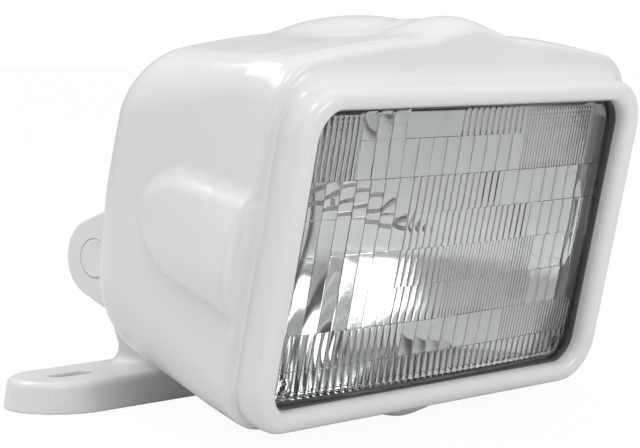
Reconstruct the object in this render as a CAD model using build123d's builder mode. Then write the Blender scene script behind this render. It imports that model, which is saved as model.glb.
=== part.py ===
from build123d import *
import math
import os

# Deck floodlight: a sealed beam in a tilting housing on a slotted foot.
# The origin is the centre of the foot's underside, +Z is up and the lamp faces -Y.
# Head sizes are given in the head's own directions: across, up its face, and
# depth behind the plane of the lens opening.

# Pose and pivot
head_tilt = 12.9            # how far the head looks down, degrees
pivot_height = 46.9         # pivot axis above the foot's underside
pivot_setback = 6.9         # pivot axis behind the middle of the foot
pivot_reach = 28.5          # pivot axis behind the housing's back
pivot_drop = 37.0           # pivot axis below the middle of the lens opening

# Fits
running_gap = 0.05          # shaft or flat face that turns
parting_gap = 0.2           # pieces that are fitted by hand
cap_gap = 0.15              # flush cap in its counterbore

# Sealed beam, the standard 165 x 100 rectangular size
beam_width = 165.0
beam_height = 100.0
beam_corner = 12.0
flange_depth = 8.0          # front of the beam's flange behind the opening plane
lens_flange = 3.5
bowl_flange = 3.0
glass_wall = 3.8
lens_inset = 1.4            # glass block inside the bezel's opening, each side
lens_front = 0.6            # middle of the glass behind the opening plane
lens_crown_radius = 1500.0
bowl_wall = 2.8
bowl_shoulder_side = 6.5    # flange outside the bowl's opening, each side
bowl_shoulder_top = 5.5
bowl_depth = 45.125         # from the bowl's flange to the tip of its curve
bowl_corner = 9.0
neck_radius = 17.0
neck_length = 5.0

# Bezel
bezel_cover_side = 6.1      # bezel over the edge of the beam, each side
bezel_cover_top = 4.0
opening_corner = 9.0
bead_width = 9.0            # bezel beside the opening
bead_height = 6.5           # bezel above and below the opening
bead_rise = 3.0             # top of the bead in front of the opening plane
bead_round = 3.2
bezel_back = 7.0            # back face of the bezel behind the opening plane
hook_width = 16.0
hook_arm = 1.4
hook_tooth = 2.0
hook_reach = 5.5            # hook length behind the bezel's back face

# Rubber
gasket_thickness = 1.0
gasket_skirt = 0.7          # rubber outside the beam's flange, each side
gasket_lip_front = 0.8      # front of the lip between glass and bezel

# Housing shell
wall = 2.6
rim_side = 4.4              # rim outside the housing's mouth
rim_above = 13.6
rim_below = 5.9
rim_corner = 20.0
rim_roll = 2.4              # deepest point of the rounded front rim behind the bezel
rim_round = 2.2
rim_lip = 2.6               # thickness of the rim's front wall
side_crown = 2.0
top_crown = 7.0
bottom_crown = 2.6
collar_length = 17.1        # from the rim to the soft crease behind the collar
collar_taper_side = 3.5
collar_taper_top = 2.1
collar_taper_bottom = 0.9
back_taper_side = 7.0
back_taper_top = 13.6
back_taper_bottom = 2.6
back_corner = 30.0
back_round = 25.0
lead_room = 11.375          # space for the leads behind the contacts
mouth_gap = 0.9             # housing mouth around the beam's gasket
ledge_gap = 0.6             # ledge around the bowl
ledge_thickness = 2.5

# Bulges around the snap hooks, and the dome
bulge_height = 6.5          # side bulge outside the rim
bulge_taper = 10.5
bulge_half_height = 17.0
bulge_drop = 1.0            # bulge centre below the middle of the opening
bulge_stop = 26.0           # end of the bulge ahead of the housing's back
bulge_end_round = 12.5
bulge_root = 6.0
brow_half_width = 22.0
brow_height = 4.6
chin_half_width = 16.0
chin_height = 1.7
bump_drop = 0.8
bump_tail = 12.0
bump_root = 4.5
dome_height = 0.8           # ridge along the top, above the collar
dome_radius = 30.5
dome_half_width = 22.0
dome_thickness = 14.0
dome_lead = 14.0            # straight length ahead of the bend
dome_crest = 36.6           # start of the bend behind the opening plane
dome_bend = 88.0            # long bend down towards the back
dome_turn = 26.0
dome_end_bend = 17.0
dome_end_turn = 60.0

# Lugs and pivot hardware
lug_outer = 37.0            # outer face of each lug from the middle
lug_thickness = 10.0
lug_radius = 13.5
lug_root_top = 11.0         # top of the lug where it meets the back
lug_root_bottom = 52.0
disc_thickness = 1.2
disc_radius = 11.0
bolt_radius = 3.0
bolt_head_radius = 5.25
bolt_head_height = 3.3
bolt_head_round = 2.0
bolt_socket_flats = 4.0
bolt_socket_depth = 2.0
nut_flats = 10.0
nut_height = 3.2
washer_radius = 6.2
washer_thickness = 1.0
cap_radius = 6.6
cap_thickness = 1.5
pocket_depth = 6.5          # counterbore in each lug, cap included
sleeve_wall = 1.5

# Foot
foot_half_length = 77.7
foot_depth = 37.3
foot_height = 10.2
foot_draft = 8.0            # degrees
foot_edge = 2.4
slot_spacing = 108.0
slot_length = 18.0
slot_width = 7.0
knuckle_radius = 12.0
riser_front = 13.0          # front of the riser ahead of the foot's middle
riser_back = 3.5
riser_flare = 8.0

# Electrics
blade_width = 8.0
blade_thickness = 0.9
blade_length = 11.0
blade_offset = 7.5          # blades from the beam's axis
ferrule_radius = 3.4
ferrule_height = 1.6
post_radius = 0.8
post_bend_radius = 2.4
post_bend = 9.0             # bend of the posts behind the focus
filament_radius = 0.7
filament_length = 4.6
connector_width = 26.0
connector_height = 24.0
connector_depth = 13.5
connector_corner = 3.0
connector_rise = 2.0
connector_standoff = 1.5    # connector behind the ferrules
contact_wall = 0.8
contact_tail = 2.0
lead_radius = 1.1
lead_bend = 4.0
lead_clearance = 0.7        # leads from the inside of the back wall
lead_crossing = 3.2         # the same for the lead that crosses over the others
lead_bundle = 1.45          # leads from the middle of the cable entry
lead_routes = (             # name, place in the bundle in degrees, gap to the back wall
    ("lead_low", 210, lead_clearance),
    ("lead_high", 330, lead_clearance),
    ("lead_common", 90, lead_crossing),
)
lead_bore = 3.4
cord_bore = 3.7
grommet_height = 20.0       # cable entry above the middle of the opening
grommet_tip_wall = 1.0
grommet_body = 6.0
grommet_flange = 8.5
grommet_lip = 2.0
grommet_tail = 9.0

# Sizes that follow from the driving ones: across the head
gasket_width = beam_width + 2 * gasket_skirt
gasket_height = beam_height + 2 * gasket_skirt
gasket_corner = beam_corner + gasket_skirt
mouth_width = gasket_width + 2 * mouth_gap
mouth_height = gasket_height + 2 * mouth_gap
mouth_corner = gasket_corner + mouth_gap
opening_width = beam_width - 2 * bezel_cover_side
opening_height = beam_height - 2 * bezel_cover_top
bezel_width = opening_width + 2 * bead_width
bezel_height = opening_height + 2 * bead_height
bezel_corner = opening_corner + bead_height
lens_width = opening_width - 2 * lens_inset
lens_height = opening_height - 2 * lens_inset
lens_corner = opening_corner - lens_inset
bowl_half_width = beam_width / 2 - bowl_shoulder_side
bowl_half_height = beam_height / 2 - bowl_shoulder_top
seat_hole_width = 2 * (bowl_half_width + bowl_wall + ledge_gap)
seat_hole_height = 2 * (bowl_half_height + bowl_wall + ledge_gap)
seat_hole_corner = bowl_corner + bowl_wall + ledge_gap
rim_half_width = mouth_width / 2 + rim_side
rim_top = mouth_height / 2 + rim_above
rim_bottom = mouth_height / 2 + rim_below
collar_half_width = rim_half_width - collar_taper_side
collar_top = rim_top - collar_taper_top
collar_bottom = rim_bottom - collar_taper_bottom
back_half_width = collar_half_width - back_taper_side
back_top = collar_top - back_taper_top
back_bottom = collar_bottom - back_taper_bottom
bulge_reach = rim_half_width + bulge_height
bulge_end_reach = bulge_reach - bulge_taper
brow_top = rim_top + brow_height
chin_bottom = rim_bottom + chin_height
dome_top = collar_top + dome_height

# Along the head's depth
joint_depth = flange_depth + lens_flange
flange_back = joint_depth + bowl_flange
ledge_front = flange_back + gasket_thickness
focal_length = bowl_half_width**2 / (4 * bowl_depth)
vertex_depth = joint_depth + bowl_depth
focus_depth = vertex_depth - focal_length
neck_back = vertex_depth + bowl_wall + neck_length
blade_front = neck_back + ferrule_height
connector_front = blade_front + connector_standoff
connector_back = connector_front + connector_depth
contact_back = blade_front + blade_length + contact_tail
wall_inside = contact_back + lead_room
back_depth = wall_inside + wall
grommet_back = back_depth + grommet_lip
grommet_tip = grommet_back + grommet_tail
rim_depth = bezel_back + rim_roll
collar_depth = rim_depth + collar_length
bulge_end = back_depth - bulge_stop
lug_root = back_depth - back_round
pivot_depth = back_depth + pivot_reach

# Pivot, contacts and foot
lug_inner = lug_outer - lug_thickness
knuckle_half_width = lug_inner - disc_thickness - running_gap
sleeve_bore = bolt_radius + running_gap
sleeve_radius = sleeve_bore + sleeve_wall
left_seat = -(lug_outer - pocket_depth)
right_seat = lug_outer - pocket_depth
head_seat = left_seat - washer_thickness
nut_end = right_seat + washer_thickness + nut_height
contact_width = blade_width + 2 * contact_wall
contact_height = blade_thickness + 2 * contact_wall + 2 * running_gap
riser_foot = knuckle_half_width + riser_flare
riser_base = foot_height - foot_edge

# Places across the head: across, up, and turn in degrees
hook_places = (
    (mouth_width / 2, -bulge_drop, 0),
    (0, mouth_height / 2, 90),
    (-mouth_width / 2, -bulge_drop, 180),
    (0, -mouth_height / 2, 270),
)
terminal_places = (
    (-blade_offset, 0, 90),
    (blade_offset, 0, 90),
    (0, blade_offset, 0),
)
post_ends = (
    (-filament_length - post_radius, 0),
    (filament_length + post_radius, 0),
    (0, 0),
)

# The head's frame
tilt = math.radians(head_tilt)
up = Vector(0, -math.sin(tilt), math.cos(tilt))
back = Vector(0, math.cos(tilt), math.sin(tilt))
pivot = Vector(0, pivot_setback, pivot_height)
opening_centre = pivot + up * pivot_drop - back * pivot_depth
face = Plane(origin=opening_centre, x_dir=(1, 0, 0), z_dir=-back)
profile = Plane(origin=opening_centre, x_dir=back, z_dir=(1, 0, 0))
head_axis = Axis(opening_centre, back)
pivot_plane = Plane(origin=pivot, x_dir=back, z_dir=(1, 0, 0))


def at_depth(depth):
    """Plane across the head at a depth, with its normal facing forward."""
    return face.offset(-depth)


def head_point(across, height, depth):
    """Place in the model of a point given in the head's directions."""
    return opening_centre + Vector(across, 0, 0) + up * height + back * depth


def rim_section(depth, inset):
    """Section of the collar at a depth."""
    share = (depth - bezel_back) / (collar_depth - bezel_back)
    return crowned_section(
        depth,
        rim_half_width + (collar_half_width - rim_half_width) * share,
        rim_top + (collar_top - rim_top) * share,
        rim_bottom + (collar_bottom - rim_bottom) * share,
        rim_corner,
        inset,
    )


def blend(start, end, depth):
    """Value at a depth between the collar and the back."""
    share = (depth - collar_depth) / (back_depth - collar_depth)
    return start + (end - start) * share


def crowned_section(depth, half_width, top, bottom, corner, inset):
    """Rounded rectangle across the head whose four sides bow outward."""
    side = half_width - inset
    crest = top - inset
    keel = -(bottom - inset)
    across = side - side_crown
    high = crest - top_crown
    low = keel + bottom_crown
    with BuildSketch(at_depth(depth)) as section:
        with BuildLine():
            ThreePointArc((-across, high), (0, crest), (across, high))
            ThreePointArc((across, high), (side, (high + low) / 2), (across, low))
            ThreePointArc((across, low), (0, keel), (-across, low))
            ThreePointArc((-across, low), (-side, (high + low) / 2), (-across, high))
        make_face()
        fillet(section.vertices(), corner - inset)
    return section.sketch


def rear_section(depth, inset):
    """Section of the tapered rear shell at a depth."""
    return crowned_section(
        depth,
        blend(collar_half_width, back_half_width, depth),
        blend(collar_top, back_top, depth),
        blend(collar_bottom, back_bottom, depth),
        blend(rim_corner, back_corner, depth),
        inset,
    )


def rear_shell(inset):
    """Tapered rear shell with a rounded back, moved in by a wall."""
    with BuildPart() as made:
        loft([rear_section(collar_depth, inset), rear_section(back_depth - inset, inset)], ruled=True)
        fillet(made.faces().sort_by(head_axis)[-1].edges(), back_round - inset)
    return made.part


def arc_section(plane, half_width, crest, root):
    """Arc on a block, for the bulges that stand out from the shell."""
    with BuildSketch(plane) as section:
        with BuildLine():
            ThreePointArc((-half_width, root), (0, crest), (half_width, root))
            Polyline((half_width, root), (half_width, root / 2), (-half_width, root / 2), (-half_width, root))
        make_face()
    return section.sketch


def bulge(inset):
    """Right side bulge: an arched block that slopes back, its end rounded in side view."""
    half_height = bulge_half_height - inset
    tip = bulge_end - inset
    neck = tip - bulge_end_round
    top = half_height - bulge_drop
    low = -half_height - bulge_drop
    stations = (
        (bezel_back, bulge_reach - rim_round, rim_half_width - bulge_root),
        (rim_depth, bulge_reach, rim_half_width - bulge_root),
        (bulge_end, bulge_end_reach, bulge_end_reach - bulge_root),
    )
    sections = []
    for depth, reach, root in stations:
        plane = Plane(origin=head_point(0, -bulge_drop, depth), x_dir=up, z_dir=-back)
        sections.append(arc_section(plane, half_height, -(reach - inset), -root))
    with BuildPart() as made:
        loft(sections, ruled=True)
        with BuildSketch(profile):
            with BuildLine():
                Polyline((neck, bulge_end_round - bulge_drop), (bezel_back, top), (bezel_back, low))
                Line((bezel_back, low), (neck, -bulge_end_round - bulge_drop))
                ThreePointArc(
                    (neck, -bulge_end_round - bulge_drop),
                    (tip, -bulge_drop),
                    (neck, bulge_end_round - bulge_drop),
                )
            make_face()
        extrude(amount=2 * bulge_reach, mode=Mode.INTERSECT)
        if inset > 0:
            split(bisect_by=at_depth(bezel_back + rim_lip), keep=Keep.BOTTOM)
    return made.part


def ridge(half_width, crest, root, fall):
    """Bump over the collar at the top (positive) or bottom (negative)."""
    edge = math.copysign(rim_round, crest)
    slope = math.copysign(bump_drop, crest)
    low = root - fall
    stations = (
        (bezel_back, crest - edge, low),
        (rim_depth, crest, low),
        (collar_depth - rim_round, crest - slope, low),
        (collar_depth + bump_tail, low, low - fall),
    )
    sections = [arc_section(at_depth(depth), half_width, top, base) for depth, top, base in stations]
    return loft(sections, ruled=True, mode=Mode.PRIVATE)


def dome():
    """Ridge along the middle of the top, bent down towards the back."""
    turn = math.radians(dome_turn)
    reach = dome_bend - dome_end_bend
    hub = head_point(0, dome_top - dome_bend, dome_crest)
    end_hub = hub + up * reach * math.cos(turn) + back * reach * math.sin(turn)
    with BuildPart() as made:
        with BuildSketch(at_depth(dome_crest)) as section:
            with Locations((0, dome_top - dome_radius)):
                Circle(dome_radius)
            with Locations((0, dome_top - dome_thickness / 2)):
                Rectangle(2 * dome_half_width, dome_thickness, mode=Mode.INTERSECT)
        extrude(amount=dome_lead)
        revolve(section.sketch, axis=Axis(hub, (-1, 0, 0)), revolution_arc=dome_turn)
        end = made.faces().sort_by(Axis(opening_centre, back))[-1]
        revolve(end, axis=Axis(end_hub, (-1, 0, 0)), revolution_arc=dome_end_turn)
    return made.part


def paraboloid(vertex, focal, rim):
    """Solid bowl shape that opens forward, with its tip at a depth."""
    mouth = vertex - rim**2 / (4 * focal)
    with BuildPart() as made:
        with BuildSketch(profile):
            with BuildLine():
                Bezier((vertex, 0), (vertex, rim / 2), (mouth, rim))
                Polyline((mouth, rim), (mouth, 0), (vertex, 0))
            make_face()
        revolve(axis=head_axis)
    return made.part


def square_bowl(start, half_width, half_height, corner, vertex, focal):
    """Paraboloid cut square by four flat walls, from a depth to its tip."""
    with BuildPart() as made:
        with BuildSketch(at_depth(start)):
            RectangleRounded(2 * half_width, 2 * half_height, corner)
        extrude(amount=start - vertex)
        add(paraboloid(vertex, focal, math.hypot(half_width, half_height)), mode=Mode.INTERSECT)
    return made.part


def wire(places, bend, radius):
    """Round wire along straight runs joined by arcs."""
    points = [head_point(*place) for place in places]
    with BuildPart() as made:
        with BuildLine():
            path = FilletPolyline(points, radius=bend)
        with BuildSketch(Plane(origin=path @ 0, z_dir=path % 0)):
            Circle(radius)
        sweep()
    return made.part


def ring(plane, width, height, corner, hole_width, hole_height, hole_corner, amount):
    """Rounded rectangular ring, extruded from a plane."""
    with BuildPart() as made:
        with BuildSketch(plane):
            RectangleRounded(width, height, corner)
            RectangleRounded(hole_width, hole_height, hole_corner, mode=Mode.SUBTRACT)
        extrude(amount=amount)
    return made.part


os.makedirs("parts", exist_ok=True)

# Front bezel: a rounded bead around the opening, with a snap hook behind each side
with BuildPart() as front_bezel:
    with BuildSketch(at_depth(bezel_back)):
        RectangleRounded(bezel_width, bezel_height, bezel_corner)
        RectangleRounded(opening_width, opening_height, opening_corner, mode=Mode.SUBTRACT)
    extrude(amount=bezel_back + bead_rise)
    front_edges = front_bezel.edges().group_by(Axis(opening_centre, -back))[-1]
    fillet(front_edges, bead_round)
    for across, height, turn in hook_places:
        with BuildSketch(at_depth(bezel_back)):
            with Locations(Location((across, height, 0), turn)):
                Rectangle(hook_arm, hook_width)
        extrude(amount=-hook_reach)
        with BuildSketch(at_depth(bezel_back + hook_reach)):
            with Locations(Location((across, height, 0), turn)):
                Rectangle(hook_arm / 2 + hook_tooth, hook_width, align=(Align.MIN, Align.CENTER))
        extrude(amount=hook_reach - rim_lip - parting_gap)
front_bezel.part.label = "front_bezel"
export_step(front_bezel.part, "parts/front_bezel.step")

# Lens: a shallow glass dish with a flange all round
lens_reach = math.hypot(lens_width, lens_height) / 2
crown_edge = lens_front + lens_crown_radius - math.sqrt(lens_crown_radius**2 - lens_reach**2)
with BuildPart() as lens_crown:
    with BuildSketch(profile):
        with BuildLine():
            RadiusArc((lens_front, 0), (crown_edge, lens_reach), lens_crown_radius)
            Polyline((crown_edge, lens_reach), (joint_depth, lens_reach), (joint_depth, 0), (lens_front, 0))
        make_face()
    revolve(axis=head_axis)
with BuildPart() as lens_glass:
    with BuildSketch(at_depth(flange_depth)):
        RectangleRounded(lens_width, lens_height, lens_corner)
    extrude(amount=flange_depth - lens_front)
    add(lens_crown.part, mode=Mode.INTERSECT)
    with BuildSketch(at_depth(joint_depth)):
        RectangleRounded(beam_width, beam_height, beam_corner)
    extrude(amount=lens_flange)
    with BuildSketch(at_depth(joint_depth)):
        RectangleRounded(lens_width - 2 * glass_wall, lens_height - 2 * glass_wall, lens_corner - glass_wall)
    extrude(amount=joint_depth - lens_front - glass_wall, mode=Mode.SUBTRACT)
lens_glass.part.label = "lens_glass"
export_step(lens_glass.part, "parts/lens_glass.step")

# Rubber round the lens: a washer on the flange with a lip up the side of the glass
with BuildPart() as beam_gasket:
    with BuildSketch(at_depth(flange_depth)):
        RectangleRounded(gasket_width, gasket_height, gasket_corner)
    extrude(amount=gasket_thickness)
    with BuildSketch(at_depth(bezel_back)):
        RectangleRounded(
            opening_width - 2 * parting_gap, opening_height - 2 * parting_gap, opening_corner - parting_gap
        )
    extrude(amount=bezel_back - gasket_lip_front)
    with BuildSketch(at_depth(flange_depth)):
        RectangleRounded(
            lens_width + 2 * parting_gap, lens_height + 2 * parting_gap, lens_corner + parting_gap
        )
    extrude(amount=flange_depth - gasket_lip_front, mode=Mode.SUBTRACT)
beam_gasket.part.label = "beam_gasket"
export_step(beam_gasket.part, "parts/beam_gasket.step")

# Reflector: a glass bowl cut square by flat walls, its flange fused to the lens
with BuildPart() as reflector_bowl:
    add(
        square_bowl(
            joint_depth,
            bowl_half_width + bowl_wall,
            bowl_half_height + bowl_wall,
            bowl_corner + bowl_wall,
            vertex_depth + bowl_wall,
            focal_length + bowl_wall / 2,
        )
    )
    with BuildSketch(at_depth(joint_depth)):
        RectangleRounded(beam_width, beam_height, beam_corner)
    extrude(amount=-bowl_flange)
    with BuildSketch(at_depth(vertex_depth)):
        Circle(neck_radius)
    extrude(amount=-(bowl_wall + neck_length))
    add(
        square_bowl(joint_depth, bowl_half_width, bowl_half_height, bowl_corner, vertex_depth, focal_length),
        mode=Mode.SUBTRACT,
    )
    with BuildSketch(at_depth(neck_back)):
        for across, height, turn in terminal_places:
            with Locations((across, height)):
                Circle(post_radius + running_gap)
    extrude(amount=neck_back - focus_depth, mode=Mode.SUBTRACT)
reflector_bowl.part.label = "reflector_bowl"
export_step(reflector_bowl.part, "parts/reflector_bowl.step")

# Metal cups that seal the lead-in posts to the back of the bowl
with BuildPart() as post_ferrules:
    with BuildSketch(at_depth(neck_back)):
        for across, height, turn in terminal_places:
            with Locations((across, height)):
                Circle(ferrule_radius)
    extrude(amount=-ferrule_height)
post_ferrules.part.label = "post_ferrules"
export_step(post_ferrules.part, "parts/post_ferrules.step")

# Lead-in posts, from the ferrules to the ends of the two filaments
with BuildPart() as lead_posts:
    for (across, height, turn), (end_across, end_height) in zip(terminal_places, post_ends):
        route = (
            (across, height, neck_back),
            (across, height, focus_depth + post_bend),
            (end_across, end_height, focus_depth - post_radius),
        )
        add(wire(route, post_bend_radius, post_radius))
lead_posts.part.label = "lead_posts"
export_step(lead_posts.part, "parts/lead_posts.step")

# Two coiled filaments in line across the focus
with BuildPart() as filaments:
    for side in (-1, 1):
        with BuildSketch(profile.offset(side * (post_radius + running_gap))):
            with Locations((focus_depth, 0)):
                Circle(filament_radius)
        extrude(amount=side * (filament_length - post_radius - 2 * running_gap))
filaments.part.label = "filaments"
export_step(filaments.part, "parts/filaments.step")

# Blade terminals on the ferrules
with BuildPart() as terminal_blades:
    with BuildSketch(at_depth(blade_front)):
        for across, height, turn in terminal_places:
            with Locations(Location((across, height, 0), turn)):
                Rectangle(blade_width, blade_thickness)
    extrude(amount=-blade_length)
terminal_blades.part.label = "terminal_blades"
export_step(terminal_blades.part, "parts/terminal_blades.step")

# Plug-on connector with a pocket for each contact
with BuildPart() as beam_connector:
    with BuildSketch(at_depth(connector_front)):
        with Locations((0, connector_rise)):
            RectangleRounded(connector_width, connector_height, connector_corner)
    extrude(amount=-connector_depth)
    with BuildSketch(at_depth(connector_front)):
        for across, height, turn in terminal_places:
            with Locations(Location((across, height, 0), turn)):
                Rectangle(contact_width + 2 * running_gap, contact_height + 2 * running_gap)
    extrude(amount=connector_front - contact_back, mode=Mode.SUBTRACT)
    with BuildSketch(at_depth(connector_back)):
        for across, height, turn in terminal_places:
            with Locations((across, height)):
                Circle(lead_radius + parting_gap)
    extrude(amount=connector_depth, mode=Mode.SUBTRACT)
beam_connector.part.label = "beam_connector"
export_step(beam_connector.part, "parts/beam_connector.step")

# Brass contacts that grip the blades
with BuildPart() as connector_contacts:
    with BuildSketch(at_depth(connector_front)):
        for across, height, turn in terminal_places:
            with Locations(Location((across, height, 0), turn)):
                Rectangle(contact_width, contact_height)
    extrude(amount=connector_front - contact_back)
    with BuildSketch(at_depth(connector_front)):
        for across, height, turn in terminal_places:
            with Locations(Location((across, height, 0), turn)):
                Rectangle(blade_width + 2 * running_gap, blade_thickness + 2 * running_gap)
    extrude(amount=-(blade_front + blade_length + running_gap - connector_front), mode=Mode.SUBTRACT)
connector_contacts.part.label = "connector_contacts"
export_step(connector_contacts.part, "parts/connector_contacts.step")

# Three leads from the contacts to the cable entry
for (across, height, turn), (name, angle, clearance) in zip(terminal_places, lead_routes):
    end_across = lead_bundle * math.cos(math.radians(angle))
    end_height = grommet_height + lead_bundle * math.sin(math.radians(angle))
    run_depth = wall_inside - lead_radius - clearance
    route = (
        (across, height, contact_back),
        (across, height, run_depth),
        (end_across, end_height, run_depth),
        (end_across, end_height, grommet_back),
    )
    with BuildPart() as lead_wire:
        add(wire(route, lead_bend, lead_radius))
    lead_wire.part.label = name
    export_step(lead_wire.part, f"parts/{name}.step")

# Cable entry: a rubber grommet in the back wall with a tapered tail
with BuildPart() as cable_grommet:
    with BuildSketch(profile):
        with BuildLine():
            Polyline(
                (wall_inside, grommet_height + lead_bore),
                (wall_inside, grommet_height + grommet_body),
                (back_depth, grommet_height + grommet_body),
                (back_depth, grommet_height + grommet_flange),
                (grommet_back, grommet_height + grommet_flange),
                (grommet_back, grommet_height + grommet_body),
                (grommet_tip, grommet_height + cord_bore + grommet_tip_wall),
                (grommet_tip, grommet_height + cord_bore),
                (grommet_back, grommet_height + cord_bore),
                (grommet_back, grommet_height + lead_bore),
                close=True,
            )
        make_face()
    revolve(axis=Axis(head_point(0, grommet_height, wall_inside), back))
cable_grommet.part.label = "cable_grommet"
export_step(cable_grommet.part, "parts/cable_grommet.step")

# Rubber ring between the beam's flange and the housing's ledge
seat_gasket = ring(
    at_depth(flange_back), beam_width, beam_height, beam_corner,
    seat_hole_width, seat_hole_height, seat_hole_corner, -gasket_thickness,
)
seat_gasket.label = "seat_gasket"
export_step(seat_gasket, "parts/seat_gasket.step")

# Space inside the housing, with the ledge left standing in it
with BuildPart() as cavity:
    loft([rim_section(bezel_back + rim_lip, wall), rim_section(collar_depth, wall)], ruled=True)
    add(rear_shell(wall))
    hollow = bulge(wall)
    add(hollow)
    add(mirror(hollow, about=Plane.YZ, mode=Mode.PRIVATE))
    with BuildSketch(at_depth(ledge_front)):
        Rectangle(2 * bulge_reach, 2 * rim_top)
        RectangleRounded(seat_hole_width, seat_hole_height, seat_hole_corner, mode=Mode.SUBTRACT)
    extrude(amount=-ledge_thickness, mode=Mode.SUBTRACT)

# Head housing: collar and tapered rear shell, bulges over the hooks, two pivot lugs
with BuildPart() as head_housing:
    loft([rim_section(bezel_back, rim_round), rim_section(rim_depth, 0)], ruled=True)
    loft([rim_section(rim_depth, 0), rim_section(collar_depth, 0)], ruled=True)
    add(rear_shell(0))
    add(dome())
    add(ridge(brow_half_width, brow_top, rim_top, bump_root))
    add(ridge(chin_half_width, -chin_bottom, -rim_bottom, -bump_root))
    solid_bulge = bulge(0)
    add(solid_bulge)
    add(mirror(solid_bulge, about=Plane.YZ, mode=Mode.PRIVATE))
    for sign in (-1, 1):
        with BuildSketch(profile.offset(sign * lug_inner)):
            with BuildLine():
                Line((lug_root, lug_root_top), (lug_root, -lug_root_bottom))
                CenterArc((pivot_depth, -pivot_drop), lug_radius, 0, 360)
            make_hull()
        extrude(amount=sign * lug_thickness)
    add(cavity.part, mode=Mode.SUBTRACT)
    with BuildSketch(at_depth(bezel_back)):
        RectangleRounded(mouth_width, mouth_height, mouth_corner)
        for across, height, turn in hook_places:
            with Locations(Location((across, height, 0), turn)):
                Rectangle(hook_arm + 2 * parting_gap, hook_width + 2 * parting_gap)
    extrude(amount=-rim_lip, mode=Mode.SUBTRACT)
    with BuildSketch(at_depth(back_depth)):
        with Locations((0, grommet_height)):
            Circle(grommet_body + parting_gap)
    extrude(amount=wall * 2, mode=Mode.SUBTRACT)
    with BuildSketch(pivot_plane):
        Circle(bolt_radius + parting_gap)
    extrude(amount=lug_outer, both=True, mode=Mode.SUBTRACT)
    with BuildSketch(pivot_plane.offset(-lug_outer)):
        Circle(cap_radius + cap_gap)
    extrude(amount=pocket_depth, mode=Mode.SUBTRACT)
    with BuildSketch(pivot_plane.offset(lug_outer)):
        Circle(cap_radius + cap_gap)
    extrude(amount=-(cap_thickness + parting_gap), mode=Mode.SUBTRACT)
    with BuildSketch(pivot_plane.offset(lug_outer)):
        RegularPolygon(nut_flats / 2 + parting_gap, 6, major_radius=False)
    extrude(amount=-pocket_depth, mode=Mode.SUBTRACT)
head_housing.part.label = "head_housing"
export_step(head_housing.part, "parts/head_housing.step")

# Caps that sit flush over the ends of the pivot bolt
for name, sign in (("pivot_cap_left", -1), ("pivot_cap_right", 1)):
    with BuildPart() as pivot_cap:
        with BuildSketch(pivot_plane.offset(sign * lug_outer)):
            Circle(cap_radius)
        extrude(amount=-sign * cap_thickness)
    pivot_cap.part.label = name
    export_step(pivot_cap.part, f"parts/{name}.step")

# Pivot bolt with a domed socket head under the left cap
with BuildPart() as pivot_bolt:
    with BuildSketch(pivot_plane.offset(head_seat)):
        Circle(bolt_radius)
    extrude(amount=nut_end - head_seat)
    with BuildSketch(pivot_plane.offset(head_seat)):
        Circle(bolt_head_radius)
    extrude(amount=-bolt_head_height)
    fillet(pivot_bolt.faces().sort_by(Axis.X)[0].edges(), bolt_head_round)
    with BuildSketch(pivot_plane.offset(head_seat - bolt_head_height)):
        RegularPolygon(bolt_socket_flats / 2, 6, major_radius=False)
    extrude(amount=bolt_socket_depth, mode=Mode.SUBTRACT)
pivot_bolt.part.label = "pivot_bolt"
export_step(pivot_bolt.part, "parts/pivot_bolt.step")

# Lock nut held in the right lug's hexagonal pocket
with BuildPart() as pivot_nut:
    with BuildSketch(pivot_plane.offset(right_seat + washer_thickness)):
        RegularPolygon(nut_flats / 2, 6, major_radius=False)
        Circle(bolt_radius + running_gap, mode=Mode.SUBTRACT)
    extrude(amount=nut_height)
pivot_nut.part.label = "pivot_nut"
export_step(pivot_nut.part, "parts/pivot_nut.step")

# Washers under the head and the nut
with BuildPart() as pivot_washers:
    for place, radius in ((head_seat, washer_radius), (right_seat, nut_flats / 2)):
        with BuildSketch(pivot_plane.offset(place)):
            Circle(radius)
            Circle(bolt_radius + parting_gap, mode=Mode.SUBTRACT)
        extrude(amount=washer_thickness)
pivot_washers.part.label = "pivot_washers"
export_step(pivot_washers.part, "parts/pivot_washers.step")

# Friction discs between the lugs and the knuckle
with BuildPart() as friction_discs:
    for sign in (-1, 1):
        with BuildSketch(pivot_plane.offset(sign * lug_inner)):
            Circle(disc_radius)
            Circle(bolt_radius + parting_gap, mode=Mode.SUBTRACT)
        extrude(amount=-sign * disc_thickness)
friction_discs.part.label = "friction_discs"
export_step(friction_discs.part, "parts/friction_discs.step")

# Metal sleeve through the knuckle, in which the bolt turns
with BuildPart() as pivot_sleeve:
    with BuildSketch(pivot_plane.offset(-knuckle_half_width)):
        Circle(sleeve_radius)
        Circle(sleeve_bore, mode=Mode.SUBTRACT)
    extrude(amount=2 * knuckle_half_width)
pivot_sleeve.part.label = "pivot_sleeve"
export_step(pivot_sleeve.part, "parts/pivot_sleeve.step")

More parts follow.
